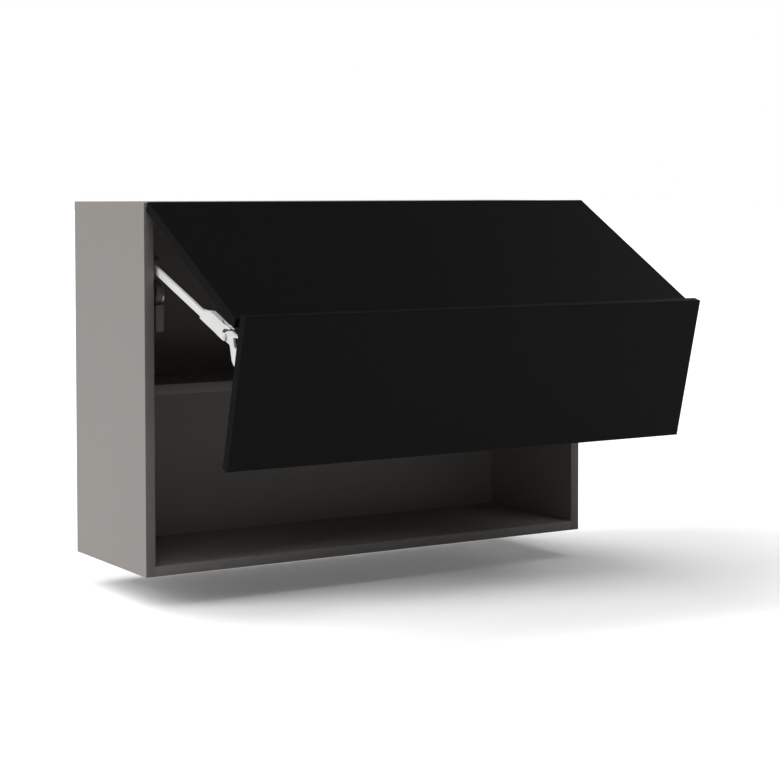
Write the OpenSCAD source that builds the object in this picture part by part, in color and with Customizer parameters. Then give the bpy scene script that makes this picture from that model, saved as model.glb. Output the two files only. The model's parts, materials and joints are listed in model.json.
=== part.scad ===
// Wall cabinet with a bi-fold front that lifts up on two sprung lift units.
// Millimetres. X runs along the wall, Y out of the room into the wall, Z up.
// The origin lies on the wall plane, at the centre of the four wall screws.

/* [Carcass] */
// Outer width of the cabinet
width = 1000; // [800:10:1200]
// Outer height of the cabinet
height = 700; // [700:5:760]
// Depth of the carcass, without its fronts
depth = 330; // [320:5:400]
// Thickness of the carcass boards
board = 19; // [18:0.5:20]
// Thickness of the back panel
back_t = 8; // [5:0.5:10]
// Space between the back panel and the wall
back_inset = 20; // [16:1:24]
// Depth of the groove that holds the back panel
groove = 8; // [6:0.5:9]
// Height of the shelf's underside above the cabinet's underside
shelf_z = 329; // [322:1:345]
// Distance from the carcass front to the shelf
shelf_setback = 108; // [106:1:130]
// Diameter of the dowels in the corner joints
dowel_d = 8; // [6:1:10]

/* [Fronts] */
// Thickness of the fronts
front_t = 19; // [18:0.5:20]
// Gap between the closed fronts and the carcass
front_gap = 3; // [2.5:0.25:4]
// How far the fronts stop short of each side
side_reveal = 3; // [1:0.5:5]
// How far the upper front stops short of the top
top_reveal = 2; // [2:0.5:4]
// Height of the upper front
upper_h = 408; // [404:1:412]
// Height of the lower front
lower_h = 280; // [270:1:284]
// Gap between the two closed fronts
fold_gap = 3; // [3:0.25:4]
// Radius of the fronts' long edges
arris = 1.5; // [1:0.25:2]

/* [Opening] */
// Lift angle of the upper front as drawn, from closed
rest_lift = 61; // [0:1:73]
// Lift angle of the upper front when fully open
open_lift = 73; // [66:1:73]
// Fold angle gained for each degree of lift
fold_ratio = 1.2385; // [1.2:0.0005:1.25]
// Swing of the lift arms for each degree of lift
arm_ratio = 1.108; // [1.104:0.001:1.112]

/* [Hinges] */
// Number of hinges along each row
hinge_count = 3; // [2:1:4]
// Distance from the end of the front to the centre of the outer hinges
hinge_inset = 110; // [90:5:150]
// Diameter of the hinge cups
cup_d = 35; // [35:0.5:36]
// Distance from the hinge pin to the centre of its cup
cup_drop = 12.5; // [12:0.25:13]
// Diameter of the hinge pins
pin_d = 3; // [2.5:0.25:3.25]
// Width of the hinge arms
arm_w = 9; // [7:0.5:9.5]
// Thickness of the hinge arms' steel
arm_t = 1.6; // [1.2:0.1:1.8]
// Distance from the upper front's top edge to its hinge pins
top_pin_drop = 8; // [8:0.25:9]
// Distance from the upper front's outer face to its hinge pins
top_pin_in = 9; // [8.5:0.25:9]
// Distance from the lower front's top edge to its hinge pins
fold_pin_drop = 26; // [25.5:0.25:27]
// Distance from the lower front's outer face to its hinge pins
fold_pin_in = 7; // [7:0.25:8]
// Width of the hinge mounting plates
plate_w = 24; // [20:1:30]
// Length of the hinge mounting plates
plate_l = 44; // [40:1:50]

/* [Lift units] */
// Thickness of the lift units' base plates
base_t = 2.5; // [2:0.25:3]
// Distance from the side's inner face to the middle of the lift arm
arm_x = 9; // [8.5:0.25:10]
// Width of the flat bar of the lift arm
bar_w = 14; // [12:0.5:14.5]
// Thickness of the flat bar of the lift arm
bar_t = 5; // [4:0.25:5.5]
// Height of the sleeve above the line between its pivot and the bar
sleeve_h = 22; // [21:0.5:23]
// Thickness of the sleeve on the lift arm
sleeve_t = 10; // [9:0.25:10.5]
// Diameter of the pivot pins at both ends of the lift arm
pivot_d = 8; // [6:0.5:9]
// Distance from the side's inner face to the spring housing
housing_x = 15; // [15:0.25:16]
// Thickness of the spring housing
housing_t = 16; // [15:0.5:20]
// Wall of the spring housing's cover
cover_t = 1.8; // [1.5:0.1:2.2]
// Distance from the cabinet's top to the spring housing's underside
housing_drop = 243; // [238:1:248]
// Diameter of the round end of the housing
round_d = 46; // [40:1:47]
// Room left round the drive pin in the lift arm's slot
slot_room = 0.5; // [0.4:0.1:1]
// Distance from the carcass front back to the bracket's pivot, with the fronts closed
pivot_in = 86.9; // [86:0.1:88]
// Distance from the cabinet's top down to that pivot
pivot_drop = 482.3; // [481:0.1:484]
// Distance from the carcass front back to the fixed drive pin
drive_in = 90.2; // [89:0.1:91]
// Distance from the cabinet's top down to the fixed drive pin
drive_drop = 83.4; // [82:0.1:85]
// Wire diameter of the lift springs
wire_d = 2; // [1.6:0.1:2.2]
// Outer diameter of the lift springs
spring_d = 11; // [10:0.25:11.5]
// Number of coils of each lift spring
spring_turns = 16; // [12:1:20]

/* [Wall fixing] */
// Distance from each side's outer face to the middle of its wall plate
hang_inset = 60; // [50:1:100]
// Gap between the top panel and the hangers below it
hanger_gap = 6; // [3:1:12]
// Distance between the two screw holes of a wall plate
screw_pitch = 32; // [28:1:36]
// Diameter of the wall screw holes
screw_d = 8; // [6:0.5:9]

/* [Hidden] */
$fn = 48;

// Colours of the boards and the fittings
carcass_grey = [0.29, 0.28, 0.27];
front_black = [0.03, 0.03, 0.03];
steel = [0.78, 0.78, 0.77];
fitting_white = [0.88, 0.88, 0.87];
fitting_grey = [0.30, 0.30, 0.29];
beech = [0.80, 0.66, 0.46];

// Clearances
seat = 0.05;
running = 0.05;
gap = 0.3;
eps = 0.01;

// Main planes
half = width / 2;
hang_span = width - 2 * hang_inset;
inner_half = half - board;
front_y = -depth;
door_in_y = front_y - front_gap;
door_out_y = door_in_y - front_t;
door_half = half - side_reveal;
upper_top = height - top_reveal;
lower_top = upper_top - upper_h - fold_gap;
lower_bottom = lower_top - lower_h;
back_front_y = -back_inset - back_t;

// Hinge axes with the fronts closed, as [y, z]
top_pin = [door_out_y + top_pin_in, upper_top - top_pin_drop];
fold_pin = [door_out_y + fold_pin_in, lower_top - fold_pin_drop];
rest_fold = rest_lift * fold_ratio;

// A point turned outwards and up about a centre, both [y, z]
function swing(p, c, a) = [
    c[0] + (p[0] - c[0]) * cos(a) + (p[1] - c[1]) * sin(a),
    c[1] - (p[0] - c[0]) * sin(a) + (p[1] - c[1]) * cos(a)
];

// Lift arm: its pivot on the lower front, closed, and the fixed pin its slot rides on
bracket_pin = [front_y + pivot_in, height - pivot_drop];
drive_pin = [front_y + drive_in, height - drive_drop];
closed_arm = 87.54;
bar_offset = 2.2;

// The same pivot and the arm's angle at any lift of the upper front
function pivot_at(lift) = swing(swing(bracket_pin, fold_pin, -lift * fold_ratio), top_pin, lift);
function arm_at(lift) = closed_arm - arm_ratio * lift;

// Where the fixed pin lies in the arm at a lift: along the arm, and across it
function pin_in_arm(lift) = let (d = drive_pin - pivot_at(lift), a = arm_at(lift))
    [d[0] * cos(a) + d[1] * sin(a), d[1] * cos(a) - d[0] * sin(a)];
slot_path = [for (i = [0 : 12]) pin_in_arm(open_lift * i / 12)];
path_along = [for (p = slot_path) p[0]];
path_across = [for (p = slot_path) p[1]];
slot_near = min(path_along);
slot_far = max(path_along);
slot_offset = (min(path_across) + max(path_across)) / 2;
slot_width = pivot_d + max(path_across) - min(path_across) + 2 * slot_room;
pivot_rest = pivot_at(rest_lift);

echo(top_pin = top_pin, fold_pin = swing(fold_pin, top_pin, rest_lift));
echo(bracket_pin_rest = pivot_rest, drive_pin = drive_pin, hang_h = hang_h, hang_span = hang_span);
echo(slot_along = [slot_near, slot_far], slot_across = [slot_offset, slot_width]);

// ---- placing ----

module from_underside() { translate([0, 0, -hang_h]) children(); }

module upper_pose() {
    from_underside() translate([0, top_pin[0], top_pin[1]]) rotate([-rest_lift, 0, 0])
        translate([0, -top_pin[0], -top_pin[1]]) children();
}

module lower_pose() {
    upper_pose() translate([0, fold_pin[0], fold_pin[1]]) rotate([rest_fold, 0, 0])
        translate([0, -fold_pin[0], -fold_pin[1]]) children();
}

// Local X is across the cabinet, local Y along the arm from its bracket pivot
module arm_pose() {
    from_underside() translate([0, pivot_rest[0], pivot_rest[1]])
        rotate([arm_at(rest_lift), 0, 0]) children();
}

// Left fittings are drawn outwards from the left side's inner face, right ones mirror them
module on_left() { translate([-inner_half, 0, 0]) children(); }
module on_right() { mirror([1, 0, 0]) on_left() children(); }

// A [y, z] outline drawn out along X
module along_x(x0, length) {
    translate([x0, 0, 0]) rotate([90, 0, 90]) linear_extrude(length) children();
}

module bar_x(x0, length, y, z, d) {
    translate([x0, y, z]) rotate([0, 90, 0]) cylinder(d = d, h = length);
}

module block(low, high) { translate(low) cube(high - low); }

// Rectangle with true round corners, from corner a to corner b
module soft_rect(a, b, r) {
    translate([a[0] + r, a[1]]) square([b[0] - a[0] - 2 * r, b[1] - a[1]]);
    translate([a[0], a[1] + r]) square([b[0] - a[0], b[1] - a[1] - 2 * r]);
    for (y = [a[0] + r, b[0] - r], z = [a[1] + r, b[1] - r]) translate([y, z]) circle(r);
}

// Slot with round ends, from point a to point b
module slot2d(a, b, d) {
    length = norm(b - a);
    translate(a) rotate(atan2(b[1] - a[1], b[0] - a[0])) {
        translate([0, -d / 2]) square([length, d]);
        circle(d = d);
        translate([length, 0]) circle(d = d);
    }
}

// ---- carcass ----

dowel_l = 34;
dowel_in_side = 12;
dowel_rows = [0.18, 0.5, 0.8];
pin_hole_d = 5;
shelf_pin_y = [0.2, 0.8];
shelf_play = 1;
hanger_w = 18;
hanger_l = 64;
hook_w = 10;
hook_t = 3;
hanger_h = 56;
hook_drop = 12;
screw_drop = 38;
hanger_high = height - board - hanger_gap;
hanger_low = hanger_high - hanger_h;
hook_z = hanger_high - hook_drop;
hang_h = hook_z - screw_drop;

module corner_dowel_rows(d, length) {
    for (f = dowel_rows, z = [board / 2, height - board / 2], s = [-1, 1])
        translate([s * (inner_half + dowel_in_side) - (s > 0 ? length : 0), -depth * f, z])
            rotate([0, 90, 0]) cylinder(d = d, h = length);
}

module shelf_span(z, d, length, inset) {
    for (f = shelf_pin_y, s = [-1, 1])
        translate([s * (inner_half + inset) - (s > 0 ? length : 0), shelf_y(f), z])
            rotate([0, 90, 0]) cylinder(d = d, h = length);
}

function shelf_y(f) = (front_y + shelf_setback) * (1 - f) + (back_front_y - shelf_play) * f;

module back_blank(grow) {
    in = groove - 0.5 + grow;
    block([-inner_half - in, back_front_y - grow / 5, board - in],
          [inner_half + in, -back_inset + grow / 5, height - board + in]);
}

module side_panel() {
    color(carcass_grey) from_underside() difference() {
        block([-half, -depth, 0], [-inner_half, 0, height]);
        back_blank(0.5);
        corner_dowel_rows(dowel_d + 2 * seat, dowel_l);
        shelf_span(shelf_z - pin_hole_d / 2, pin_hole_d + 2 * seat, 20, 10);
    }
}

module rail_panel(z) {
    color(carcass_grey) from_underside() difference() {
        block([-inner_half, -depth, z], [inner_half, 0, z + board]);
        back_blank(0.5);
        corner_dowel_rows(dowel_d + 2 * seat, dowel_l);
    }
}

module back_panel() {
    color(carcass_grey) from_underside() difference() {
        back_blank(0);
        for (s = [-1, 1])
            block([s * hang_span / 2 - hook_w / 2 - 3, back_front_y - 1, hook_z - 10],
                  [s * hang_span / 2 + hook_w / 2 + 3, 0, hook_z + hook_t + 6]);
    }
}

module shelf() {
    color(carcass_grey) from_underside()
        block([-inner_half + shelf_play, front_y + shelf_setback, shelf_z],
              [inner_half - shelf_play, back_front_y - shelf_play, shelf_z + board]);
}

module shelf_pins() {
    color(steel) from_underside() {
        shelf_span(shelf_z - pin_hole_d / 2, pin_hole_d, 19, 9);
    }
}

module corner_dowels() {
    color(beech) from_underside() corner_dowel_rows(dowel_d, dowel_l - 1);
}

// ---- wall fixing ----

module hanging_brackets() {
    color(fitting_white) from_underside() for (s = [-1, 1]) {
        out = s * inner_half;
        middle = s * hang_span / 2;
        low = min(out, middle - s * hanger_w / 2);
        high = max(out, middle - s * hanger_w / 2);
        difference() {
            block([low, back_front_y - hanger_l, hanger_low], [high, back_front_y, hanger_high]);
            block([middle - hook_w / 2 - gap, back_front_y - hanger_l + 4, hook_z - 8],
                  [middle + hook_w / 2 + gap, back_front_y + 1, hook_z + hook_t + 4]);
        }
    }
}

module hanging_hooks() {
    color(steel) from_underside() for (s = [-1, 1]) translate([s * hang_span / 2 - hook_w / 2, 0, 0])
        along_x(0, hook_w) polygon([
            [back_front_y - hanger_l + 8, hook_z], [-2.2 - hook_t, hook_z],
            [-2.2 - hook_t, hook_z - 7], [-2.2, hook_z - 7], [-2.2, hook_z + hook_t],
            [back_front_y - hanger_l + 8, hook_z + hook_t]
        ]);
}

module wall_plates() {
    plate_t = 2;
    step = 2.2 + hook_t + gap;
    color(steel) from_underside() for (s = [-1, 1]) translate([s * hang_span / 2, 0, 0]) difference() {
        along_x(-24, 48) polygon([
            [0, hang_h - 28], [0, hook_z - 13], [-step, hook_z - 9], [-step, hook_z - gap],
            [-step - plate_t, hook_z - gap], [-step - plate_t, hook_z - 10], [-plate_t, hook_z - 14],
            [-plate_t, hang_h - 28]
        ]);
        for (z = [-1, 1]) translate([0, 1, hang_h + z * screw_pitch / 2]) rotate([90, 0, 0])
            cylinder(d = screw_d, h = 20);
    }
}

// ---- fronts ----

function hinge_x(i) = -door_half + hinge_inset + i * (2 * (door_half - hinge_inset)) / (hinge_count - 1);

module each_hinge() { for (i = [0 : hinge_count - 1]) translate([hinge_x(i), 0, 0]) children(); }

cup_floor = 3.4;
cup_wall = 0.8;
flange_t = 1.2;
top_mouth = front_t - top_pin_in;
fold_mouth = front_t - fold_pin_in;

// Bore for a hinge cup, with the pin's axis at the origin and the mouth towards +Y
module cup_bore(mouth) {
    translate([0, mouth + 1, -cup_drop]) rotate([90, 0, 0])
        cylinder(d = cup_d, h = mouth + 1 + cup_floor + cup_wall + eps);
}

module front_blank(low, high) {
    along_x(-door_half, 2 * door_half) soft_rect([door_out_y, low], [door_in_y, high], arris);
}

module upper_front() {
    color(front_black) upper_pose() difference() {
        front_blank(upper_top - upper_h, upper_top);
        each_hinge() translate([0, top_pin[0], top_pin[1]]) cup_bore(top_mouth);
    }
}

module lower_front() {
    color(front_black) lower_pose() difference() {
        front_blank(lower_bottom, lower_top);
        each_hinge() translate([0, fold_pin[0], fold_pin[1]]) cup_bore(fold_mouth);
    }
}

module front_buffers() {
    color(fitting_white) lower_pose() for (s = [-1, 1])
        translate([s * (half - board / 2), door_in_y, lower_bottom + 12]) rotate([-90, 0, 0])
            cylinder(d1 = 9, d2 = 8, h = front_gap - gap);
}

// ---- hinges ----

module hinge_cup(mouth, low) {
    cavity = arm_w + 2;
    difference() {
        union() {
            translate([0, mouth, -cup_drop]) rotate([90, 0, 0])
                cylinder(d = cup_d - 2 * seat, h = mouth + cup_floor + cup_wall);
            translate([0, mouth + flange_t, 0]) rotate([90, 0, 0]) linear_extrude(flange_t) {
                translate([0, -cup_drop]) circle(d = cup_d + 1);
                slot2d([-24, -cup_drop - 6], [24, -cup_drop - 6], 13);
            }
        }
        block([-cavity / 2, -cup_floor, low], [cavity / 2, mouth + 5, pin_d / 2 + 1.8]);
        translate([-pin_length / 2, 0, 0]) rotate([0, 90, 0]) cylinder(d = pin_d + 2 * seat, h = pin_length);
        for (x = [-24, 24]) translate([x, mouth + 5, -cup_drop - 6]) rotate([90, 0, 0])
            cylinder(d = 4, h = 10);
    }
}

pin_length = arm_w + 6;
eye_r = pin_d / 2 + 1.1;

module hinge_pin() {
    translate([-(pin_length - 1) / 2, 0, 0]) rotate([0, 90, 0]) cylinder(d = pin_d, h = pin_length - 1);
}

module top_hinge_cups() {
    color(steel) upper_pose() each_hinge() translate([0, top_pin[0], top_pin[1]])
        hinge_cup(top_mouth, -cup_drop - 5);
}

module top_hinge_pins() {
    color(steel) upper_pose() each_hinge() translate([0, top_pin[0], top_pin[1]]) hinge_pin();
}

// Underside of the top panel and front of the carcass, seen from the hinge pin
under_top = height - board - top_pin[1];
carcass_y = front_y - top_pin[0];
top_leg = under_top - 3;
plate_back = 4;

module top_hinge_arms() {
    color(steel) from_underside() each_hinge() translate([0, top_pin[0], top_pin[1]]) difference() {
        union() {
            along_x(-arm_w / 2, arm_w) {
                circle(eye_r);
                polygon([
                    [-arm_t / 2, 0], [arm_t / 2, 0], [arm_t / 2, top_leg],
                    [carcass_y + plate_back + 10, top_leg], [carcass_y + plate_back + 10, top_leg - arm_t],
                    [0, top_leg - arm_t], [-arm_t / 2, top_leg - arm_t / 2]
                ]);
            }
            translate([0, 0, top_leg - arm_t]) linear_extrude(arm_t) hull() {
                translate([-arm_w / 2, carcass_y + plate_back]) square([arm_w, 1]);
                translate([-8, carcass_y + plate_back + 10]) square([16, plate_l - 12]);
            }
        }
        bar_x(-20, 40, 0, 0, pin_d + 2 * running);
        translate([0, carcass_y + plate_back + 22, top_leg - 5]) cylinder(d = 6, h = 10);
    }
}

module top_hinge_plates() {
    color(steel) from_underside() each_hinge() translate([0, top_pin[0], top_pin[1]]) {
        difference() {
            translate([0, carcass_y + plate_back, top_leg]) linear_extrude(under_top - top_leg)
                soft_rect([-plate_w / 2, 0], [plate_w / 2, plate_l], 3);
            for (y = [8, plate_l - 8], x = [-8.5, 8.5])
                translate([x, carcass_y + plate_back + y, top_leg - 1]) cylinder(d = 3.6, h = 10);
        }
    }
}

module fold_hinge_cups() {
    color(steel) lower_pose() each_hinge() translate([0, fold_pin[0], fold_pin[1]])
        hinge_cup(fold_mouth, -cup_drop - 10.5);
}

module fold_hinge_pins() {
    color(steel) lower_pose() each_hinge() translate([0, fold_pin[0], fold_pin[1]]) hinge_pin();
}

// Parts of the fold hinge, seen from its pin: the leg leans 8 degrees upwards
leg_lean = 8;
fold_leg = fold_mouth + 2;
fold_plate_z = fold_pin_drop + fold_gap + 5;

module fold_hinge_arms() {
    rise = (fold_leg + arm_t / 2) * tan(leg_lean);
    half_t = arm_t / 2 / cos(leg_lean);
    color(steel) upper_pose() each_hinge() translate([0, fold_pin[0], fold_pin[1]]) difference() {
        union() {
            along_x(-arm_w / 2, arm_w) {
                circle(eye_r);
                polygon([
                    [0, -half_t], [fold_leg + arm_t / 2, rise - half_t], [fold_leg + arm_t, rise],
                    [fold_leg + arm_t, fold_plate_z + 10], [fold_leg, fold_plate_z + 10],
                    [fold_leg, rise + half_t], [0, half_t]
                ]);
            }
            translate([0, fold_leg + arm_t, 0]) rotate([90, 0, 0]) linear_extrude(arm_t) hull() {
                translate([-arm_w / 2, fold_plate_z]) square([arm_w, 1]);
                translate([-8, fold_plate_z + 10]) square([16, plate_l - 12]);
            }
        }
        bar_x(-20, 40, 0, 0, pin_d + 2 * running);
        translate([0, fold_leg + 5, fold_plate_z + 22]) rotate([90, 0, 0]) cylinder(d = 6, h = 10);
    }
}

module fold_hinge_plates() {
    color(steel) upper_pose() each_hinge() translate([0, fold_pin[0] + fold_leg, fold_pin[1] + fold_plate_z])
        rotate([90, 0, 0]) difference() {
            linear_extrude(fold_leg - fold_mouth) soft_rect([-plate_w / 2, 0], [plate_w / 2, plate_l], 3);
            for (z = [8, plate_l - 8], x = [-8.5, 8.5]) translate([x, z, -1]) cylinder(d = 3.6, h = 10);
        }
}

// ---- lift units, drawn with X from the side's inner face ----

housing_y = front_y + 24;
housing_l = 156;
housing_h = 202;
box_h = 50;
rim = 4;
plate_setback = 10;
rear_wall = 112;
housing_z = height - housing_drop;
box_top = housing_z + box_h;
housing_top = housing_z + housing_h;
round_c = [housing_y + round_d / 2, box_top + round_d / 2];
inner_plate_t = 2;
cover_x = housing_x + inner_plate_t;

// Side view of the unit: the box low at the front, the seat of its round end, the slanting edge
module unit_outline() {
    polygon([
        [housing_y, housing_z], [housing_y, box_top], [round_c[0], box_top],
        [round_c[0], box_top + round_d], [housing_y + 16, box_top + round_d + 18],
        [housing_y + 17, box_top + round_d + 38], [housing_y + 24, box_top + round_d + 44],
        [housing_y + 42, box_top + round_d + 50], [housing_y + 62, housing_top - 8],
        [housing_y + 72, housing_top], [housing_y + housing_l - 8, housing_top],
        [housing_y + housing_l, housing_top - 8], [housing_y + housing_l, housing_z]
    ]);
}

module lift_base() {
    color(steel) from_underside() difference() {
        union() {
            along_x(0, base_t) intersection() {
                unit_outline();
                translate([housing_y + plate_setback, housing_z + rim])
                    square([housing_l - plate_setback - rim, housing_h - 2 * rim]);
            }
            along_x(base_t - eps, housing_x - base_t + 2 * eps) intersection() {
                unit_outline();
                translate([housing_y + rear_wall, housing_z + rim])
                    square([housing_l - rear_wall - rim, housing_h - 2 * rim]);
            }
            along_x(housing_x, inner_plate_t) intersection() {
                unit_outline();
                translate([housing_y + rim, housing_z + rim])
                    square([housing_l - 2 * rim, housing_h - 2 * rim]);
            }
            bar_x(0, housing_x + inner_plate_t, drive_pin[0], drive_pin[1], pivot_d);
        }
        for (z = [housing_z + 20, housing_top - 20])
            bar_x(-1, housing_x + inner_plate_t + 2, housing_y + housing_l - 18, z, 5);
        bar_x(housing_x - 1, 5, round_c[0], round_c[1], 10);
    }
}

module lift_cover() {
    color(fitting_grey) from_underside() difference() {
        along_x(housing_x, housing_t) unit_outline();
        along_x(housing_x - 1, inner_plate_t + 1 + gap / 3)
            translate([housing_y + rim - gap, housing_z + rim - gap])
                square([housing_l - 2 * rim + 2 * gap, housing_h - 2 * rim + 2 * gap]);
        along_x(housing_x + 1, housing_t - cover_t - 1)
            soft_rect([housing_y + 8, housing_z + cover_t], [housing_y + housing_l - cover_t, box_top - 4], 2);
        along_x(housing_x + 1, housing_t - cover_t - 1)
            soft_rect([round_c[0] + round_d / 2 + 6, box_top - 8], [housing_y + housing_l - cover_t, housing_top - 8], 2);
        bar_x(housing_x - 1, housing_t + 2, round_c[0], round_c[1], round_d + 2 * gap);
    }
}

module round_end() {
    color(fitting_grey) from_underside() {
        bar_x(cover_x + gap, housing_t - inner_plate_t - gap, round_c[0], round_c[1], round_d);
        bar_x(housing_x, inner_plate_t + 1, round_c[0], round_c[1], 10 - 2 * running);
    }
}

module end_ring() {
    color(fitting_white) from_underside() along_x(housing_x + housing_t, 1.5) translate(round_c) difference() {
        circle(d = round_d);
        circle(d = round_d - 2 * ring_w);
    }
}

ring_w = 5;
spring_y = housing_y + 14;
spring_l = housing_l - 24;
spring_z = housing_z + 25;
spring_x = cover_x + (housing_t - inner_plate_t - cover_t) / 2;

function ring(at, out, up, n) = [for (k = [0 : n - 1])
    at + wire_d / 2 * (cos(360 * k / n) * out + sin(360 * k / n) * up)];

module lift_spring() {
    sides = 6;
    per_turn = 8;
    steps = spring_turns * per_turn;
    r = (spring_d - wire_d) / 2;
    pitch = (spring_l - wire_d) / spring_turns;
    points = [for (i = [0 : steps]) let (a = 360 * i / per_turn)
        each ring([r * cos(a), wire_d / 2 + pitch * i / per_turn, r * sin(a)],
                  [cos(a), 0, sin(a)], [0, 1, 0], sides)];
    walls = [for (i = [0 : steps - 1], k = [0 : sides - 1]) let (
        p = i * sides + k, q = i * sides + (k + 1) % sides)
        each [[p, q, q + sides], [p, q + sides, p + sides]]];
    start = [for (k = [1 : sides - 2]) [0, k + 1, k]];
    finish = [for (k = [1 : sides - 2]) [steps * sides, steps * sides + k, steps * sides + k + 1]];
    color(steel) from_underside() translate([spring_x, spring_y, spring_z])
        polyhedron(concat([for (p = points) p]), concat(walls, start, finish));
}

module spring_rod() {
    rod_d = spring_d - 2 * wire_d - 1;
    color(steel) from_underside() {
        translate([spring_x, housing_y + 8.3, spring_z]) rotate([-90, 0, 0])
            cylinder(d = rod_d, h = housing_l - 12);
        translate([spring_x, housing_y + 8.3, spring_z]) rotate([-90, 0, 0])
            cylinder(d = spring_d, h = spring_y - housing_y - 8.3 - gap);
    }
}

// ---- lift arms, drawn with Y along the arm from its bracket pivot ----

bar_start = 33;
crank_l = 65;
crank_bend = 40;
slot_rim = 6;
sleeve_l = 98;
sleeve_low = bar_offset - bar_w / 2 - 1.7;
jaw_r = 7;
fork_slot = 6;
fork_depth = 21;
web_t = 4;
clamp_y = 52;

module lift_bar() {
    color(fitting_white) arm_pose() along_x(arm_x - bar_t / 2, bar_t) difference() {
        union() {
            translate([bar_start, bar_offset - bar_w / 2]) square([slot_near - crank_bend - bar_start, bar_w]);
            translate([slot_near - crank_bend, bar_offset]) circle(d = bar_w);
            hull() {
                translate([slot_near - crank_l, bar_offset]) circle(d = bar_w);
                translate([slot_near, slot_offset]) circle(d = slot_width + 2 * slot_rim);
                translate([slot_far, slot_offset]) circle(d = slot_width + 2 * slot_rim);
            }
        }
        slot2d([slot_near, slot_offset], [slot_far, slot_offset], slot_width);
    }
}

// Side view of the sleeve: its body, the lip over the open jaw, and the jaw's round end on the pivot
module sleeve_outline() {
    polygon([
        [sleeve_l, sleeve_low], [sleeve_l, bar_offset + bar_w / 2 + 1.7], [91, bar_offset + bar_w / 2 + 2.2],
        [64, sleeve_h], [3, sleeve_h - 0.6], [-2, sleeve_h + 1], [-17.5, sleeve_h + 1.8],
        [-19, sleeve_h - 0.8], [-7, 18], [2, 14.5], [6.2, 10.5], [7.8, jaw_r - 1], [0, jaw_r - 1],
        [0, -jaw_r], [28, -jaw_r], [31, sleeve_low]
    ]);
    circle(jaw_r);
}

module lift_sleeve() {
    color(fitting_white) arm_pose() difference() {
        along_x(arm_x - sleeve_t / 2, sleeve_t) sleeve_outline();
        block([arm_x - bar_t / 2 - seat, bar_start - 1, bar_offset - bar_w / 2 - seat],
              [arm_x + bar_t / 2 + seat, sleeve_l + 1, bar_offset + bar_w / 2 + seat]);
        block([arm_x - fork_slot / 2, -30, -30], [arm_x + fork_slot / 2, fork_depth, 40]);
        bar_x(0, 30, 0, 0, pivot_d + 2 * running);
        bar_x(arm_x + bar_t / 2, 20, clamp_y, bar_offset, 5 + 2 * seat);
    }
}

module clamp_screw() {
    color(steel) arm_pose() {
        bar_x(arm_x + bar_t / 2 + gap, sleeve_t / 2, clamp_y, bar_offset, 5);
        bar_x(arm_x + sleeve_t / 2, 2.5, clamp_y, bar_offset, 10);
    }
}

// ---- brackets on the lower front, drawn closed with X from the side's inner face ----

bracket_w = 30;
foot_top = 46;
foot_l = 76;
head_r = 7.5;
foot_t = 2.5;

module front_bracket() {
    // Outline points as [distance inwards from the front, distance down from its top edge]
    face = door_in_y;
    pin_in = bracket_pin[0] - face;
    pin_down = lower_top - bracket_pin[1];
    color(fitting_white) lower_pose() difference() {
        union() {
            along_x(arm_x - web_t / 2, web_t) translate([face, lower_top]) difference() {
                union() {
                    polygon([
                        [foot_t / 2, -foot_top - 3], [46, -54], [68, -51.5], [83, -56.4], [pin_in + 2, -pin_down + 7.5],
                        [pin_in - 2, -pin_down - 7], [70, -77.5], [64.4, -86], [55.3, -102], [48, -107.5],
                        [foot_t / 2, -foot_top - foot_l + 3]
                    ]);
                    translate([pin_in, -pin_down]) circle(head_r);
                }
                polygon([[12, -58], [48, -58], [60, -62.5], [51, -77], [12, -77]]);
                polygon([[12, -85], [40, -85], [36, -100], [12, -103]]);
            }
            along_x(arm_x - web_t / 2, bracket_w)
                soft_rect([face, lower_top - foot_top - foot_l], [face + foot_t, lower_top - foot_top], 1);
        }
        bar_x(0, 30, bracket_pin[0], bracket_pin[1], pivot_d + 2 * running);
        for (f = [0.16, 0.5, 0.84])
            translate([arm_x + 16, face - 1, lower_top - foot_top - f * foot_l]) rotate([-90, 0, 0])
                cylinder(d = 5, h = 10);
    }
}

module bracket_pin() {
    color(steel) lower_pose() {
        bar_x(arm_x - sleeve_t / 2 - 1, sleeve_t + 2, bracket_pin[0], bracket_pin[1], pivot_d);
        bar_x(arm_x + sleeve_t / 2 + gap, 2, bracket_pin[0], bracket_pin[1], pivot_d + 4);
    }
}

side_panel();  // side_panel_left
mirror([1, 0, 0]) side_panel();  // side_panel_right
rail_panel(height - board);  // top_panel
rail_panel(0);  // bottom_panel
back_panel();
shelf();
shelf_pins();
corner_dowels();
hanging_brackets();
hanging_hooks();
wall_plates();
upper_front();
lower_front();
front_buffers();
top_hinge_plates();
top_hinge_arms();
top_hinge_cups();
top_hinge_pins();
fold_hinge_plates();
fold_hinge_arms();
fold_hinge_cups();
fold_hinge_pins();
on_left() lift_base();  // lift_base_left
on_right() lift_base();  // lift_base_right
on_left() lift_cover();  // lift_cover_left
on_right() lift_cover();  // lift_cover_right
on_left() lift_spring();  // lift_spring_left
on_right() lift_spring();  // lift_spring_right
on_left() spring_rod();  // spring_rod_left
on_right() spring_rod();  // spring_rod_right
on_left() round_end();  // round_end_left
on_right() round_end();  // round_end_right
on_left() end_ring();  // end_ring_left
on_right() end_ring();  // end_ring_right
on_left() lift_bar();  // lift_bar_left
on_right() lift_bar();  // lift_bar_right
on_left() lift_sleeve();  // lift_sleeve_left
on_right() lift_sleeve();  // lift_sleeve_right
on_left() clamp_screw();  // clamp_screw_left
on_right() clamp_screw();  // clamp_screw_right
on_left() front_bracket();  // front_bracket_left
on_right() front_bracket();  // front_bracket_right
union() { on_left() bracket_pin(); on_right() bracket_pin(); }  // bracket_pins
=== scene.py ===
"""Dresses a lift-up wall cabinet: finishes, edge bands, screws and a pale studio to look at it in."""

import json
import math

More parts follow.
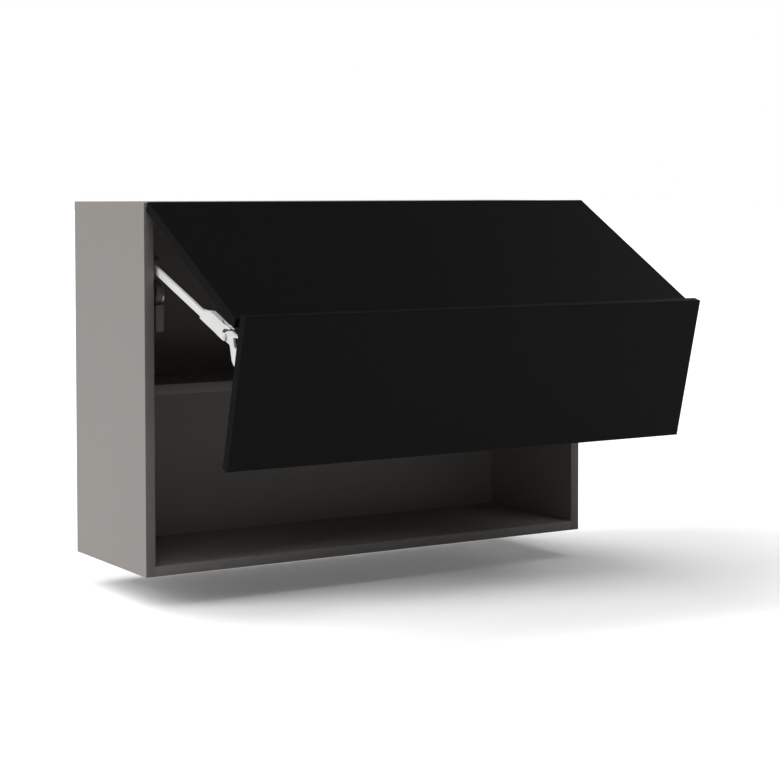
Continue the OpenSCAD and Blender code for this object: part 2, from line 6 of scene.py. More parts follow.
import bmesh
import bpy
from bpy.props import FloatProperty, FloatVectorProperty, PointerProperty
from bpy.types import Operator, Panel, PropertyGroup
from mathutils import Matrix, Vector


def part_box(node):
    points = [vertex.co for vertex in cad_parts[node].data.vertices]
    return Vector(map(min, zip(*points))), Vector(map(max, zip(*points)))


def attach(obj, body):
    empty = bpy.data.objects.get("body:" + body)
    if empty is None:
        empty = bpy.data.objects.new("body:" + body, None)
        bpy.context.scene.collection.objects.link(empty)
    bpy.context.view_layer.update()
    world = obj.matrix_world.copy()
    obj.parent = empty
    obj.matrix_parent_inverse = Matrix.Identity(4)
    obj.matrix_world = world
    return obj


bl_info = {
    "name": "Lift-up wall cabinet",
    "version": (1, 0, 0),
    "blender": (4, 5, 0),
    "location": "3D View > Sidebar > Cabinet",
    "description": "Finishes and small parts for a wall cabinet with a folding front",
    "category": "Object",
}

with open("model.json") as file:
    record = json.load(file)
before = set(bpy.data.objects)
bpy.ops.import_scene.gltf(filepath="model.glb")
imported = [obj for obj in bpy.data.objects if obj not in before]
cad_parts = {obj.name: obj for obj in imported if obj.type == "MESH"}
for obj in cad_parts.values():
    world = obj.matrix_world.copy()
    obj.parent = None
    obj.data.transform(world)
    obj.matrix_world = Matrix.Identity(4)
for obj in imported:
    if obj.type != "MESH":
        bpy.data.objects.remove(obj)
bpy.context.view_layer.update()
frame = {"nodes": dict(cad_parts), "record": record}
NODES = frame["nodes"]
JOINTS = {joint["name"]: joint for joint in frame["record"]["behaviour"]["joints"]}

MM = 0.001
SIDES = {"left": -1, "right": 1}
INWARD = {"left": "right", "right": "left"}
BOARDS = ("side_panel_left", "side_panel_right", "top_panel", "bottom_panel", "shelf")
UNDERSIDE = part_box("bottom_panel")[0].z
INNER_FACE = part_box("side_panel_right")[0].x

# Leans at rest, in degrees: the upper front from upright, the lower front from the upper, the arms from level
LIFT = -JOINTS["front_lift"]["range_deg"][0]
FOLD = -JOINTS["front_fold"]["range_deg"][0]
ARM_RISE = 19.95


# ---- settings ----

class BoardSettings(PropertyGroup):
    """Colours and edges of the boards"""

    carcass: FloatVectorProperty(
        name="Carcass colour", description="Colour of the coated carcass boards",
        subtype="COLOR", size=3, min=0, max=1, default=(0.300, 0.280, 0.265))
    front: FloatVectorProperty(
        name="Front colour", description="Colour of the lacquered fronts",
        subtype="COLOR", size=3, min=0, max=1, default=(0.0025, 0.0025, 0.0025))
    core: FloatVectorProperty(
        name="Core colour", description="Colour of the bare chipboard on the rear edges",
        subtype="COLOR", size=3, min=0, max=1, default=(0.42, 0.31, 0.20))
    edge_round: FloatProperty(
        name="Edge rounding", description="Rounding of the boards' sharp edges",
        unit="LENGTH", min=0.0001, max=0.002, default=0.0006)
    band: FloatProperty(
        name="Edge band", description="Thickness of the edge band on the boards' front edges",
        unit="LENGTH", min=0.0004, max=0.002, default=0.001)


class FittingSettings(PropertyGroup):
    """Colours of the metal and plastic fittings, and the size of their screws' heads"""

    coat: FloatVectorProperty(
        name="Coated metal", description="Colour of the coated lift arms and brackets",
        subtype="COLOR", size=3, min=0, max=1, default=(0.80, 0.80, 0.79))
    plate: FloatVectorProperty(
        name="Plated steel", description="Colour of the nickel plated steel",
        subtype="COLOR", size=3, min=0, max=1, default=(0.62, 0.61, 0.59))
    plastic: FloatVectorProperty(
        name="Covers", description="Colour of the lift units' plastic covers",
        subtype="COLOR", size=3, min=0, max=1, default=(0.285, 0.275, 0.262))
    head_scale: FloatProperty(
        name="Heads", description="Factor on the diameters of the screws' heads and plugs",
        subtype="FACTOR", min=0.7, max=1.1, default=1.0)


class StudioSettings(PropertyGroup):
    """Floor, lamps and camera"""

    floor_drop: FloatProperty(
        name="Floor below", description="Distance of the floor below the cabinet",
        unit="LENGTH", min=0.01, max=2, default=0.06)
    floor: FloatVectorProperty(
        name="Floor colour", description="Colour of the studio floor",
        subtype="COLOR", size=3, min=0, max=1, default=(0.86, 0.86, 0.86))
    light: FloatProperty(
        name="Light level", description="Factor on all the studio's lamps",
        subtype="FACTOR", min=0, max=5, default=1.0)
    fill: FloatProperty(
        name="Fill", description="Strength of the even light from all around",
        subtype="FACTOR", min=0, max=1, default=0.03)
    lens: FloatProperty(
        name="Lens", description="Focal length of the camera in millimetres",
        unit="CAMERA", min=20, max=300, default=93.9504)


# ---- materials ----

class Wire:
    """A socket whose sums and products with numbers or other sockets add Math nodes"""

    def __init__(self, tree, socket):
        self.tree, self.socket = tree, socket

    def _math(self, kind, first, second, clamp=False):
        made = self.tree.nodes.new("ShaderNodeMath")
        made.operation, made.use_clamp = kind, clamp
        for place, value in enumerate((first, second)):
            if isinstance(value, Wire):
                self.tree.links.new(value.socket, made.inputs[place])
            else:
                made.inputs[place].default_value = value
        return Wire(self.tree, made.outputs[0])

    def __add__(self, other):
        return self._math("ADD", self, other)

    __radd__ = __add__

    def __sub__(self, other):
        return self._math("SUBTRACT", self, other)

    def __rsub__(self, other):
        return self._math("SUBTRACT", other, self)

    def __mul__(self, other):
        return self._math("MULTIPLY", self, other)

    __rmul__ = __mul__

    def __gt__(self, other):
        return self._math("GREATER_THAN", self, other)

    def __lt__(self, other):
        return self._math("LESS_THAN", self, other)

    def clamped(self):
        return self._math("ADD", self, 0.0, clamp=True)


class Graph:
    """A node tree under construction"""

    def __init__(self, tree):
        self.tree = tree

    def node(self, kind, settings=None, out=0, **values):
        """A node of any kind: its settings first, then its inputs, as values or wires"""
        made = self.tree.nodes.new(kind)
        for key, value in (settings or {}).items():
            setattr(made, key, value)
        for key, value in values.items():
            index = key[1:]
            socket = made.inputs[int(index) if index.isdigit() else key.replace("_", " ")]
            if isinstance(value, Wire):
                self.tree.links.new(value.socket, socket)
            else:
                socket.default_value = value
        return Wire(self.tree, made.outputs[out])

    def axis(self, coordinates, name):
        """X, Y or Z of a kind of coordinates"""
        place = self.node("ShaderNodeTexCoord", out=coordinates)
        return self.node("ShaderNodeSeparateXYZ", Vector=place, out=name)

    def shown(self):
        """1 for rays that show a surface, directly, mirrored or through another, 0 for those that light"""
        camera, glossy, through = (self.node("ShaderNodeLightPath", out=f"Is {kind} Ray")
                                   for kind in ("Camera", "Glossy", "Transmission"))
        return (camera + glossy + through).clamped()


class Finish(Graph):
    """A node material under construction: a Principled shader and what feeds it"""

    def __init__(self, name, colour, roughness, metallic=0.0, specular=0.5):
        self.material = bpy.data.materials.new(name)
        self.material.use_nodes = True
        self.material.diffuse_color = (*colour, 1)
        super().__init__(self.material.node_tree)
        self.shader = self.tree.nodes["Principled BSDF"]
        self.shader.inputs["Base Color"].default_value = (*colour, 1)
        self.shader.inputs["Roughness"].default_value = roughness
        self.shader.inputs["Metallic"].default_value = metallic
        self.shader.inputs["Specular IOR Level"].default_value = specular

    def place(self, stretch=(1, 1, 1)):
        """Object coordinates, stretched"""
        at = self.node("ShaderNodeTexCoord", out="Object")
        return self.node("ShaderNodeMapping", Vector=at, Scale=stretch)

    def noise(self, scale, detail=2.0, stretch=(1, 1, 1)):
        return self.node("ShaderNodeTexNoise", Vector=self.place(stretch), Scale=scale, Detail=detail)

    def mix(self, amount, first, second):
        """A colour between two colours"""
        return self.node("ShaderNodeMix", {"data_type": "RGBA"}, out=2, i0=amount, i6=first, i7=second)

    def tones(self, amount, colour, darker, lighter):
        """A colour that goes from a darker to a lighter shade of one colour"""
        return self.mix(amount, shade(colour, darker), shade(colour, lighter))

    def feed(self, name, wire):
        self.tree.links.new(wire.socket, self.shader.inputs[name])

    def bump(self, height, depth, strength):
        self.feed("Normal", self.node("ShaderNodeBump", Height=height, Distance=depth, Strength=strength))


def shade(colour, factor):
    """The colour, lighter or darker, with full alpha"""
    return (*[min(1.0, channel * factor) for channel in colour], 1)


# A board's rear edge: where its surface looks at the wall, by its normal's Y, and lies on it, by its own Y
LOOKS_BACK, ON_WALL = 0.9, -0.004
# A front's ends: where its surface looks to the left or right, by its normal's X
LOOKS_ASIDE = 0.9


def coated_board(colour, core):
    """Resin-coated chipboard: an even colour with a fine pearl grain, bare core on the rear edges"""
    look = Finish("coated_board", colour, 0.5, specular=0.2)
    coat = look.tones(look.noise(3.0, detail=3.0), colour, 0.97, 1.03)
    flakes = look.noise(260.0, detail=4.0)
    chips = look.node("ShaderNodeTexVoronoi", Vector=look.place(), Scale=420.0)
    wood = look.mix(chips * 0.35, look.tones(flakes, core, 0.72, 1.2), shade(core, 0.55))
    rear = (look.axis("Normal", "Y") > LOOKS_BACK) * (look.axis("Object", "Y") > ON_WALL)
    look.feed("Base Color", look.mix(rear, coat, wood))
    look.feed("Roughness", 0.47 + 0.06 * look.noise(40.0) + 0.3 * rear)
    look.bump(look.noise(1400.0) + rear * flakes * 4.0, depth=0.06 * MM, strength=0.35)
    return look.material


def edge_band(colour):
    """Plastic edge band in the boards' colour, a little smoother than the faces"""
    look = Finish("edge_band", colour, 0.42, specular=0.2)
    look.feed("Base Color", look.tones(look.noise(8.0), colour, 0.96, 1.02))
    look.feed("Roughness", 0.38 + 0.08 * look.noise(60.0))
    look.bump(look.noise(900.0), depth=0.04 * MM, strength=0.3)
    return look.material


def matt_lacquer(colour):
    """Very matt black lacquer with a fine, even tooth, rougher on the fronts' ends"""
    look = Finish("matt_lacquer", colour, 0.48, specular=0.065)
    look.feed("Base Color", look.tones(look.noise(2.2, detail=3.0), colour, 0.92, 1.08))
    across = look.axis("Normal", "X")
    ends = (across > LOOKS_ASIDE) + (across < -LOOKS_ASIDE)
    look.feed("Roughness", 0.45 + 0.06 * look.noise(35.0, detail=3.0) + 0.35 * ends)
    look.bump(look.noise(1800.0), depth=0.04 * MM, strength=0.35)
    return look.material


def plated_steel(colour):
    """Nickel plated steel, drawn along its length"""
    look = Finish("plated_steel", colour, 0.3, metallic=1.0)
    streak = look.noise(420.0, stretch=(0.08, 1, 1))
    look.feed("Base Color", look.tones(streak, colour, 0.95, 1.05))
    look.feed("Roughness", 0.26 + 0.08 * look.noise(160.0, stretch=(0.2, 1, 1)))
    look.bump(streak, depth=0.008 * MM, strength=0.2)
    return look.material


def coated_metal(colour):
    """Light powder coat with its fine orange peel"""
    look = Finish("coated_metal", colour, 0.4, specular=0.45)
    look.feed("Base Color", look.tones(look.noise(12.0), colour, 0.97, 1.03))
    look.feed("Roughness", 0.34 + 0.1 * look.noise(120.0))
    look.bump(look.noise(1100.0), depth=0.08 * MM, strength=0.35)
    return look.material


def moulded_plastic(colour):
    """Moulded plastic with a fine spark texture"""
    look = Finish("moulded_plastic", colour, 0.55, specular=0.35)
    look.feed("Base Color", look.tones(look.noise(9.0), colour, 0.96, 1.04))
    look.feed("Roughness", 0.5 + 0.1 * look.noise(90.0))
    look.bump(look.noise(2200.0, detail=3.0), depth=0.06 * MM, strength=0.5)
    return look.material


def soft_bumper():
    """Clear bumper cushion, slightly cloudy"""
    look = Finish("soft_bumper", (0.75, 0.75, 0.73), 0.25)
    look.feed("Base Color", look.mix(look.noise(300.0), (0.68, 0.68, 0.66, 1), (0.8, 0.8, 0.78, 1)))
    look.feed("Roughness", 0.2 + 0.1 * look.noise(700.0))
    return look.material


def beech_dowel():
    """Beech with its short flecks along the dowel"""
    look = Finish("beech_dowel", (0.62, 0.45, 0.27), 0.6, specular=0.3)
    fleck = look.noise(900.0, detail=3.0, stretch=(0.1, 1, 1))
    look.feed("Base Color", look.mix(fleck, (0.50, 0.34, 0.19, 1), (0.70, 0.52, 0.33, 1)))
    look.feed("Roughness", 0.5 + 0.15 * fleck)
    look.bump(fleck, depth=0.1 * MM, strength=0.4)
    return look.material


# The floor's tone for rays that light the cabinet and for those that show the floor, and its glow for these
FLOOR_LIT, FLOOR_SHOWN, FLOOR_GLOW = 0.3, 1.15, 0.12


def studio_floor(colour):
    """Floor that looks pale and keeps the cabinet's shadow, and sends little light back up"""
    look = Finish("studio_floor", colour, 0.9, specular=0.0)
    shown = look.shown()
    look.feed("Base Color", look.tones(shown, colour, FLOOR_LIT, FLOOR_SHOWN))
    look.feed("Emission Color", look.mix(shown, (0, 0, 0, 1), (FLOOR_GLOW, FLOOR_GLOW, FLOOR_GLOW, 1)))
    look.shader.inputs["Emission Strength"].default_value = 1.0
    return look.material


FINISHES = {}


def finishes():
    """The finishes, made once from the settings"""
    if not FINISHES:
        boards, fittings = bpy.context.scene.cabinet_boards, bpy.context.scene.cabinet_fittings
        FINISHES.update(
            board=coated_board(tuple(boards.carcass), tuple(boards.core)),
            band=edge_band(tuple(boards.carcass)),
            front=matt_lacquer(tuple(boards.front)),
            steel=plated_steel(tuple(fittings.plate)),
            coat=coated_metal(tuple(fittings.coat)),
            plastic=moulded_plastic(tuple(fittings.plastic)),
            bumper=soft_bumper(),
            beech=beech_dowel(),
        )
    return FINISHES


# ---- making ----

def dress(names, finish, edge=None):
    """Gives CAD nodes a finish and, where asked, edges rounded by so many metres"""
    for name in names:
        node = NODES[name]
        node.data.materials.clear()
        node.data.materials.append(finishes()[finish])
        if edge:
            soft = node.modifiers.new("soft_edges", "BEVEL")
            soft.width, soft.segments, soft.limit_method = edge, 2, "ANGLE"
            soft.angle_limit, soft.harden_normals = math.radians(40), True


def piece(name, mesh, body, finish):
    """A new object with a finish, riding on a body"""
    made = bpy.data.objects.new(name, mesh)
    bpy.context.scene.collection.objects.link(made)
    made.data.materials.append(finishes()[finish])
    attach(made, body)
    return made


# ---- places ----

TOWARDS = {"up": (0, "X"), "down": (180, "X"), "back": (-90, "X"), "front": (90, "X"),
           "right": (90, "Y"), "left": (-90, "Y")}


def leaning(joint, degrees=0.0):
    """A set of axes at a joint, leaning as the part that turns on it leans at rest"""
    return Matrix.Translation(JOINTS[joint]["pos_m"]) @ Matrix.Rotation(math.radians(degrees), 4, "X")


def spot(axes, x, y, z, towards, turn=0.0):
    """A place in millimetres from those axes' origin, with its own Z looking towards a side"""
    angle, axis = TOWARDS[towards]
    place = axes @ Matrix.Translation(Vector((x, y, z)) * MM)
    return place @ Matrix.Rotation(math.radians(angle), 4, axis) @ Matrix.Rotation(math.radians(turn), 4, "Z")


# ---- meshes ----

# A head's profile from its seat to its top: shares of its radius and of its height
RIM = ((1.0, 0.0), (1.0, 0.4), (0.95, 0.68), (0.84, 0.9), (0.7, 1.0))
RIM_STEPS = 28
# A recess's floor: its height as a share of the head's, and its outline as a share of the opening's
RECESS_FLOOR, RECESS_TAPER = 0.25, 0.72
CROSS = [(1, -0.26), (1, 0.26), (0.3, 0.3), (0.26, 1), (-0.26, 1), (-0.3, 0.3),
         (-1, 0.26), (-1, -0.26), (-0.3, -0.3), (-0.26, -1), (0.26, -1), (0.3, -0.3)]


def circle(steps):
    """Points on a circle of radius 1"""
    return [(math.cos(math.tau * i / steps), math.sin(math.tau * i / steps)) for i in range(steps)]


# Kinds of heads: diameter and height in millimetres, recess, its reach as a share of the radius, and finish
HEADS = {
    "cup_screw": (7.2, 1.6, CROSS, 0.5, "steel"),
    "plate_screw": (6.48, 1.2, CROSS, 0.5, "steel"),
    "cam_screw": (5.6, 2.0, CROSS, 0.62, "steel"),
    "arm_screw": (7.2, 1.8, CROSS, 0.5, "steel"),
    "bracket_screw": (7.92, 1.7, CROSS, 0.5, "steel"),
    "hanger_screw": (8.0, 1.4, CROSS, 0.6, "steel"),
    "clamp_socket": (9.4, 0.7, circle(6), 0.52, "steel"),
    "cover_plug": (9.0, 1.0, circle(6), 0.3, "plastic"),
    "hub": (24.0, 1.2, circle(6), 0.34, "plastic"),
}


def around(loop):
    """Each item of a closed loop with the next one"""
    return zip(loop, loop[1:] + loop[:1])


def head(mesh, place, radius, height, recess, reach):
    """A fastener's head with a rounded rim and a tapered recess for its driver"""
    def ring(points, z, grow):
        return [mesh.verts.new(place @ Vector((x * grow, y * grow, z))) for x, y in points]

    rim = [ring(circle(RIM_STEPS), height * up, radius * out) for out, up in RIM]
    opening = radius * reach
    well = [ring(recess, height, opening), ring(recess, height * RECESS_FLOOR, opening * RECESS_TAPER)]
    for stack in (rim, well):
        for low, high in zip(stack, stack[1:]):
            for (a, b), (d, c) in zip(around(low), around(high)):
                mesh.faces.new((a, b, c, d))
    mesh.faces.new(well[1])
    border = [mesh.edges.get(pair) for loop in (rim[-1], well[0]) for pair in around(loop)]
    bmesh.ops.triangle_fill(mesh, edges=border, use_beauty=True)


def slab(mesh, place, outline, height, soft):
    """A raised panel with that outline and a softened upper edge; place's Z points out of it"""
    base = mesh.faces.new([mesh.verts.new(place @ Vector((x, y, 0))) for x, y in outline])
    lifted = bmesh.ops.extrude_face_region(mesh, geom=[base])["geom"]
    top = [part for part in lifted if isinstance(part, bmesh.types.BMFace)][0]
    up = (place.to_3x3() @ Vector((0, 0, 1))).normalized() * height
    bmesh.ops.translate(mesh, vec=up, verts=top.verts)
    bmesh.ops.bevel(mesh, geom=list(top.edges), offset=soft, segments=3, profile=0.5, affect="EDGES")


def finished(name, mesh, smooth=35):
    """The object mesh, with outward faces and smooth shading over angles up to so many degrees"""
    bmesh.ops.recalc_face_normals(mesh, faces=mesh.faces)
    data = bpy.data.meshes.new(name)
    mesh.to_mesh(data)
    mesh.free()
    data.shade_smooth()
    data.set_sharp_from_angle(angle=math.radians(smooth))
    return data


def heads(name, kind, places, body):
    """One piece of like fasteners' heads"""
    across, height, recess, reach, finish = HEADS[kind]
    across *= bpy.context.scene.cabinet_fittings.head_scale
    mesh = bmesh.new()
    for place in places:
        head(mesh, place, across * MM / 2, height * MM, recess, reach)
    return piece(name, finished(name, mesh), body, finish)


# ---- operators ----

# Edge bands, in millimetres proud of the board's edge and short of its faces, and rounding by their thickness
BAND_PROUD, BAND_SHORT, BAND_ROUND = 0.15, 0.04, 0.45


class CABINET_OT_carcass(Operator):
    """Coated boards with banded front edges, the back panel, shelf and dowels"""

    bl_idname = "cabinet.carcass"
    bl_label = "Carcass"

    def execute(self, context):
        boards = context.scene.cabinet_boards
        dress((*BOARDS, "back_panel"), "board", boards.edge_round)
        dress(("shelf_pins",), "steel")
        dress(("corner_dowels",), "beech")
        for board in BOARDS:
            self.band(board, boards.band)
        return {"FINISHED"}

    def band(self, board, thickness):
        """The edge band on a board's front edge, its two long arrises rounded"""
        low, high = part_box(board)
        short = BAND_SHORT * MM
        size = Vector((high.x - low.x - 2 * short, thickness, high.z - low.z - 2 * short))
        middle = (low + high) / 2
        middle.y = low.y - BAND_PROUD * MM + thickness / 2
        mesh = bmesh.new()
        bmesh.ops.create_cube(mesh, size=1.0, matrix=Matrix.Translation(middle) @ Matrix.Diagonal((*size, 1)))
        front = [edge for edge in mesh.edges if all(vert.co.y < middle.y for vert in edge.verts)]
        rounding = thickness * BAND_ROUND
        bmesh.ops.bevel(mesh, geom=front, offset=rounding, segments=3, profile=0.5, affect="EDGES")
        name = f"edge_band_{board}"
        piece(name, finished(name, mesh), "cabinet", "band")


class CABINET_OT_fronts(Operator):
    """The two black fronts and their bumpers"""

    bl_idname = "cabinet.fronts"
    bl_label = "Fronts"

    def execute(self, context):
        dress(("upper_front", "lower_front"), "front", context.scene.cabinet_boards.edge_round)
        dress(("front_buffers",), "bumper")
        return {"FINISHED"}


# Places on the hinges, in millimetres: along the fronts, and from the hinges' pins with the fronts closed
HINGES, HINGE_INSET = 3, 110
TOP_MOUTH, FOLD_MOUTH = 10, 12
CUP_FLANGE, CUP_SCREW_X, CUP_SCREW_Z = 1.2, 24, -18.5
PLATE_SCREW_X, PLATE_SCREWS, CAM_ALONG, ARM_SCREW_ALONG, ARM_THICK = 8.5, (8, 36), 22, 34, 1.6
TOP_PLATE_START, TOP_PLATE_Z = 17, -12
FOLD_PLATE_Y, FOLD_PLATE_START = 14, 34


def hinge_places():
    """X of the hinges, in millimetres"""
    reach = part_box("upper_front")[1].x / MM - HINGE_INSET
    return [-reach + i * 2 * reach / (HINGES - 1) for i in range(HINGES)]


class CABINET_OT_hinges(Operator):
    """Both rows of concealed hinges"""

    bl_idname = "cabinet.hinges"
    bl_label = "Hinges"

    def execute(self, context):
        for row in ("top", "fold"):
            dress([f"{row}_hinge_{part}" for part in ("plates", "arms", "cups", "pins")], "steel", 0.2 * MM)
        upper, lower = leaning("front_lift", -LIFT), leaning("front_fold", FOLD - LIFT)
        self.cup_screws("top", upper, TOP_MOUTH, "upper_front")
        self.plate_screws("top", leaning("front_lift"), self.on_top_plate, "cabinet")
        self.cup_screws("fold", lower, FOLD_MOUTH, "lower_front")
        self.plate_screws("fold", leaning("front_fold", -LIFT), self.on_fold_plate, "upper_front")
        return {"FINISHED"}

    def cup_screws(self, row, axes, mouth, body):
        """The screws in the flanges of a row's cups"""
        places = [spot(axes, x + side * CUP_SCREW_X, mouth + CUP_FLANGE, CUP_SCREW_Z, "back", turn=20 * side)
                  for x in hinge_places() for side in (-1, 1)]
        heads(f"{row}_cup_screws", "cup_screw", places, body)

    def plate_screws(self, row, axes, on_plate, body):
        """The screws that hold a row's plates, adjust them and hold the arms on them"""
        plates = [on_plate(axes, x + side * PLATE_SCREW_X, along, proud=0, turn=15 + 25 * side)
                  for x in hinge_places() for side in (-1, 1) for along in PLATE_SCREWS]
        heads(f"{row}_plate_screws", "plate_screw", plates, body)
        cams = [on_plate(axes, x, CAM_ALONG, proud=0, turn=40) for x in hinge_places()]
        heads(f"{row}_cam_screws", "cam_screw", cams, body)
        arms = [on_plate(axes, x, ARM_SCREW_ALONG, proud=ARM_THICK, turn=10) for x in hinge_places()]
        heads(f"{row}_arm_screws", "arm_screw", arms, body)

    @staticmethod
    def on_top_plate(axes, x, along, proud, turn):
        """A place on the underside of a top hinge's plate"""
        return spot(axes, x, TOP_PLATE_START + along, TOP_PLATE_Z - proud, "down", turn)

    @staticmethod
    def on_fold_plate(axes, x, along, proud, turn):
        """A place on the inner face of a fold hinge's plate"""
        return spot(axes, x, FOLD_PLATE_Y + proud, FOLD_PLATE_START + along, "back", turn)


# The lift unit's cover, in millimetres: its depth from the cabinet's side, and from its lower front corner
# [back, up] the outline of its raised panel, its screw plugs and the round end's hub
COVER_DEPTH = 31
COVER_PANEL = [(7, 7), (149, 7), (149, 191), (144, 195), (77, 195), (68, 187), (54, 139), (54, 43), (7, 43)]
PANEL_PROUD, PANEL_SOFT = 0.7, 0.45
PLUGS = ((138, 20), (138, 182))
HUB = (23, 73)


class CABINET_OT_lift_units(Operator):
    """The sprung lift units on both sides"""

    bl_idname = "cabinet.lift_units"
    bl_label = "Lift units"

    def execute(self, context):
        for side in SIDES:
            dress((f"lift_base_{side}", f"lift_spring_{side}", f"spring_rod_{side}"), "steel")
            dress((f"lift_cover_{side}", f"round_end_{side}"), "plastic", 0.5 * MM)
            dress((f"end_ring_{side}",), "steel", 0.3 * MM)
            self.cover_details(side)
        return {"FINISHED"}

    def cover_details(self, side):
        """The cover's raised panel, its screw plugs and the hub in the round end"""
        sign, corner = SIDES[side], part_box(f"lift_cover_{side}")[0]
        corner.x = sign * (INNER_FACE - COVER_DEPTH * MM)
        axes = Matrix.Translation(corner)
        # The cover's face has X back, Y up and Z out of it, mirrored on the right
        face = axes @ Matrix(((0, 0, -sign, 0), (1, 0, 0, 0), (0, 1, 0, 0), (0, 0, 0, 1)))
        mesh = bmesh.new()
        outline = [(back * MM, up * MM) for back, up in COVER_PANEL]
        slab(mesh, face, outline, PANEL_PROUD * MM, PANEL_SOFT * MM)
        name = f"cover_panel_{side}"
        piece(name, finished(name, mesh), "cabinet", "plastic")
        plugs = [spot(axes, -sign * PANEL_PROUD, back, up, INWARD[side]) for back, up in PLUGS]
        heads(f"cover_plugs_{side}", "cover_plug", plugs, "cabinet")
        heads(f"round_end_hub_{side}", "hub", [spot(axes, 0, *HUB, INWARD[side])], "cabinet")


# The clamp screw's socket, in millimetres from the arm's pivot: inwards, along the arm and up
CLAMP_IN, CLAMP_ALONG, CLAMP_UP = 7.5, 52, 2.2
# The bracket's screws, in millimetres from the middle of the fold hinge's pins with the front closed
BRACKET_SCREW_X, BRACKET_FACE, BRACKET_SCREWS = 457, 14.5, (-32.2, -58, -83.8)


class CABINET_OT_lift_arms(Operator):
    """The lift arms and their brackets on the lower front"""

    bl_idname = "cabinet.lift_arms"
    bl_label = "Lift arms"

    def execute(self, context):
        lower = leaning("front_fold", FOLD - LIFT)
        for side, sign in SIDES.items():
            dress((f"lift_bar_{side}", f"lift_sleeve_{side}", f"front_bracket_{side}"), "coat", 0.4 * MM)
            dress((f"clamp_screw_{side}",), "steel", 0.3 * MM)
            arm = leaning(f"arm_swing_{side}", ARM_RISE)
            socket = spot(arm, -sign * CLAMP_IN, CLAMP_ALONG, CLAMP_UP, INWARD[side], turn=12)
            heads(f"clamp_socket_{side}", "clamp_socket", [socket], f"lift_arm_{side}")
            screws = [spot(lower, sign * BRACKET_SCREW_X, BRACKET_FACE, z, "back", turn=10 * i)
                      for i, z in enumerate(BRACKET_SCREWS)]
            heads(f"bracket_screws_{side}", "bracket_screw", screws, "lower_front")
        dress(("bracket_pins",), "steel", 0.3 * MM)
        return {"FINISHED"}


# Adjusting screws on the hangers, in millimetres from the cabinet's middle and down from the hangers' tops
HANGER_SCREW_X, HANGER_SCREWS = 462, (12, 34)


class CABINET_OT_wall_fixing(Operator):
    """Hangers in the upper corners, their hooks and the wall plates"""

    bl_idname = "cabinet.wall_fixing"
    bl_label = "Wall fixing"

    def execute(self, context):
        dress(("hanging_brackets",), "coat", 0.6 * MM)
        dress(("hanging_hooks", "wall_plates"), "steel", 0.3 * MM)
        low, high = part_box("hanging_brackets")
        face = Matrix.Translation((0, low.y, high.z))
        screws = [spot(face, sign * HANGER_SCREW_X, 0, -down, "front", turn=30)
                  for sign in SIDES.values() for down in HANGER_SCREWS]
        heads("hanger_screws", "hanger_screw", screws, "cabinet")
        return {"FINISHED"}


# Lamps: where each stands, its strength, and the angle that it spreads over in degrees
LAMPS = {
    "left_top_light": ((-0.9, 0.15, 0.9), 1.55, 35),
    "rear_top_light": ((-0.3, 0.6, 1.0), 1.15, 30),
    "front_top_light": ((0.1, -0.3, 1.0), 0.75, 40),
    "corner_light": ((-0.4, -0.5, 1.0), 0.45, 40),
    "side_light": ((-1.0, 0.25, 0.45), 0.93, 25),
    "front_light": ((-0.35, -1.0, 0.15), 0.05, 40),
    "right_light": ((1.0, 0.5, 0.25), 1.0, 30),
}
LAMP_DISTANCE = 3
# Mirrored surroundings darken upwards and backwards: where this starts, how fast, and how dark they get
CEILING_FROM, CEILING_RISE, CEILING_DARK = 0.3, 4.0, 0.95
REAR_FROM, REAR_RISE, REAR_DARK = 0.1, 2.0, 0.7
FLOOR_REACH = 60.0
# The camera as fitted to the photograph's outlines: place, tilt from straight down, turn, and shift
CAMERA_PLACE, CAMERA_TILT, CAMERA_TURN = (-2.06908, -3.80389, 0.10478), 87.5, -32.831
CAMERA_SHIFT = (-0.07572, -0.14703)
WHITE = (1, 1, 1, 1)


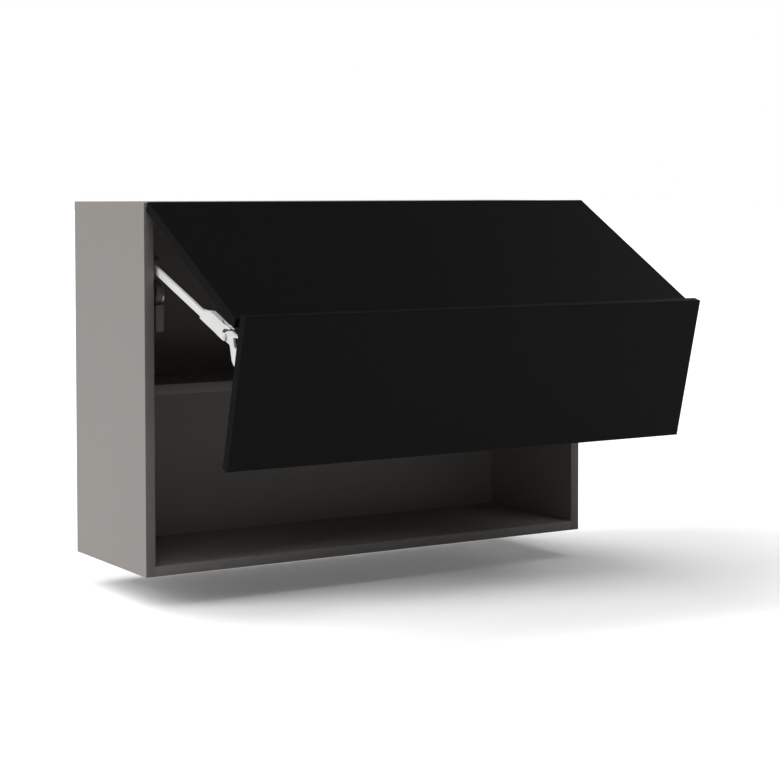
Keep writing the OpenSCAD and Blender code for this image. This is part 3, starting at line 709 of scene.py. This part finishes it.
class CABINET_OT_studio(Operator):
    """Floor, lamps, white surroundings and the camera"""

    bl_idname = "cabinet.studio"
    bl_label = "Studio"

    def execute(self, context):
        studio = context.scene.cabinet_studio
        self.floor(context, UNDERSIDE - studio.floor_drop, tuple(studio.floor))
        for name, (towards, strength, spread) in LAMPS.items():
            self.sun(context, name, towards, strength * studio.light, spread)
        self.surroundings(context, studio.fill)
        self.camera(context, studio.lens)
        context.scene.view_settings.view_transform = "Standard"
        return {"FINISHED"}

    def floor(self, context, level, colour):
        mesh = bpy.data.meshes.new("studio_floor")
        corners = ((-1, -1), (1, -1), (1, 1), (-1, 1))
        mesh.from_pydata([(x * FLOOR_REACH, y * FLOOR_REACH, level) for x, y in corners], [], [(0, 1, 2, 3)])
        floor = bpy.data.objects.new("studio_floor", mesh)
        context.scene.collection.objects.link(floor)
        mesh.materials.append(studio_floor(colour))

    def sun(self, context, name, towards, strength, spread):
        """A distant soft light that shines from a direction"""
        light = bpy.data.lights.new(name, "SUN")
        light.energy, light.angle = strength, math.radians(spread)
        made = bpy.data.objects.new(name, light)
        made.rotation_euler = Vector(towards).to_track_quat("Z", "Y").to_euler()
        made.location = Vector(towards) * LAMP_DISTANCE
        context.scene.collection.objects.link(made)

    def surroundings(self, context, fill):
        """White all around, darker above and behind for mirrored rays, with little light on the cabinet"""
        world = context.scene.world or bpy.data.worlds.new("studio_world")
        context.scene.world = world
        world.use_nodes = True
        graph = Graph(world.node_tree)
        graph.tree.nodes.remove(graph.tree.nodes["Background"])
        ceiling = ((graph.axis("Generated", "Z") - CEILING_FROM) * CEILING_RISE).clamped()
        rear = ((graph.axis("Generated", "Y") - REAR_FROM) * REAR_RISE).clamped()
        bright = (1.0 - ceiling * CEILING_DARK) * (1.0 - rear * REAR_DARK)
        mirrored = 1.0 - graph.node("ShaderNodeLightPath", out="Is Camera Ray")
        lit = graph.node("ShaderNodeBackground", Color=WHITE, Strength=fill)
        seen = graph.node("ShaderNodeBackground", Color=WHITE, Strength=1.0 - mirrored * (1.0 - bright))
        both = graph.node("ShaderNodeMixShader", i0=graph.shown(), i1=lit, i2=seen)
        graph.tree.links.new(both.socket, graph.tree.nodes["World Output"].inputs["Surface"])

    def camera(self, context, focal):
        """The camera, at the photograph's viewing angle"""
        lens = bpy.data.cameras.new("camera")
        lens.lens, lens.sensor_width, lens.sensor_fit = focal, 36.0, "AUTO"
        lens.shift_x, lens.shift_y = CAMERA_SHIFT
        lens.clip_start, lens.clip_end = 0.05, 200.0
        camera = bpy.data.objects.new("camera", lens)
        camera.location = CAMERA_PLACE
        camera.rotation_euler = (math.radians(CAMERA_TILT), 0.0, math.radians(CAMERA_TURN))
        context.scene.collection.objects.link(camera)
        context.scene.camera = camera


class CABINET_PT_pieces(Panel):
    """The cabinet's pieces and settings"""

    bl_label = "Wall cabinet"
    bl_idname = "CABINET_PT_pieces"
    bl_space_type = "VIEW_3D"
    bl_region_type = "UI"
    bl_category = "Cabinet"

    def draw(self, context):
        scene = context.scene
        for settings in (scene.cabinet_boards, scene.cabinet_fittings, scene.cabinet_studio):
            box = self.layout.box()
            for name in settings.__annotations__:
                box.prop(settings, name)
        for step in STEPS:
            self.layout.operator(step.bl_idname)


STEPS = (CABINET_OT_carcass, CABINET_OT_fronts, CABINET_OT_hinges, CABINET_OT_lift_units,
         CABINET_OT_lift_arms, CABINET_OT_wall_fixing, CABINET_OT_studio)
SETTINGS = (BoardSettings, FittingSettings, StudioSettings)


def register():
    for made in (*SETTINGS, *STEPS, CABINET_PT_pieces):
        bpy.utils.register_class(made)
    bpy.types.Scene.cabinet_boards = PointerProperty(type=BoardSettings)
    bpy.types.Scene.cabinet_fittings = PointerProperty(type=FittingSettings)
    bpy.types.Scene.cabinet_studio = PointerProperty(type=StudioSettings)


def unregister():
    del bpy.types.Scene.cabinet_boards, bpy.types.Scene.cabinet_fittings, bpy.types.Scene.cabinet_studio
    for made in reversed((*SETTINGS, *STEPS, CABINET_PT_pieces)):
        bpy.utils.unregister_class(made)


def main():
    register()
    for step in STEPS:
        group, name = step.bl_idname.split(".")
        getattr(getattr(bpy.ops, group), name)()


if __name__ == "__main__":
    main()
